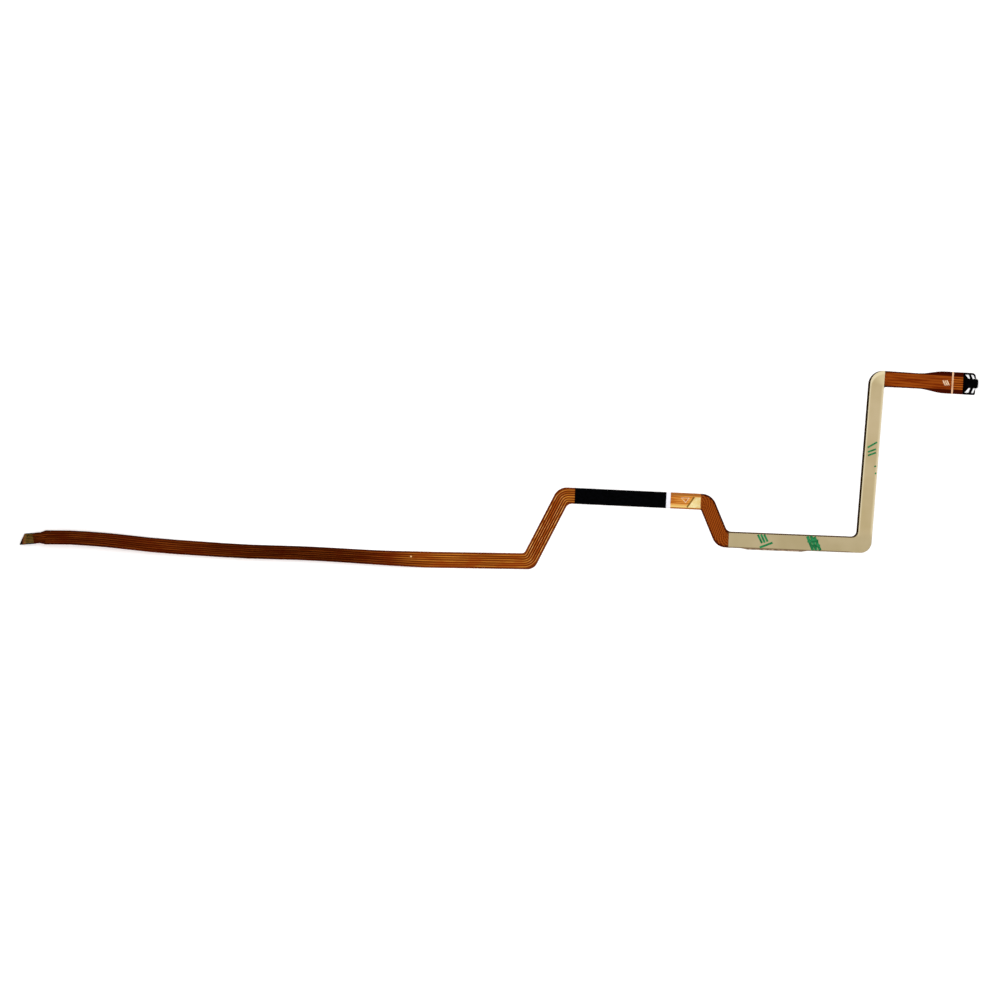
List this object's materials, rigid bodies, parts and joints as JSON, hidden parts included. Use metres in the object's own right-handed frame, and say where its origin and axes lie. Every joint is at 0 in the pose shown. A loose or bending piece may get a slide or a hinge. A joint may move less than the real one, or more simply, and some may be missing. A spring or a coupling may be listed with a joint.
{
  "type": "flat flex cable",
  "caption": "Long die-cut flat flex cable with six copper conductors, a bare contact tail, a taped run with its paper liner, and a small moulded connector at its head.",
  "frame": {"origin": "on the surface that the cable lies on, under the middle of its box", "axes": "+X along the cable from the contact tail to the connector, +Y up its long upright run in plan, +Z out of its taped and printed side"},
  "size_m": [0.274, 0.0624, 0.0043],
  "materials": {
    "polyimide_film": "amber polyimide film, dark where it lies over itself",
    "coverlay_film": "thin amber coverlay, glossy",
    "copper": "etched copper",
    "gold_plating": "bright gold plating",
    "stiffener_film": "dark brown laminate",
    "black_fabric": "black cloth tape",
    "white_ink": "screen printed ink",
    "tape_adhesive": "acrylic adhesive",
    "liner_paper": "tan coated paper",
    "black_mould": "black moulding compound",
    "tinned_metal": "bright tin"
  },
  "bodies": {
    "root": {"base_film": "polyimide_film", "coverlay": "coverlay_film", "mesh_mask": "coverlay_film", "conductor_1": "copper", "conductor_2": "copper", "conductor_3": "copper", "conductor_4": "copper", "conductor_5": "copper", "conductor_6": "copper", "ground_mesh": "copper", "ground_pad": "gold_plating", "tail_stiffener": "stiffener_film", "black_strip": "black_fabric", "printed_band": "white_ink", "printed_line": "white_ink", "double_sided_tape": "tape_adhesive", "release_liner": "liner_paper", "head_plate": "black_mould", "connector_body": "black_mould", "terminal_1": "tinned_metal", "terminal_2": "tinned_metal", "terminal_3": "tinned_metal", "terminal_4": "tinned_metal"}
  },
  "joints": []
}
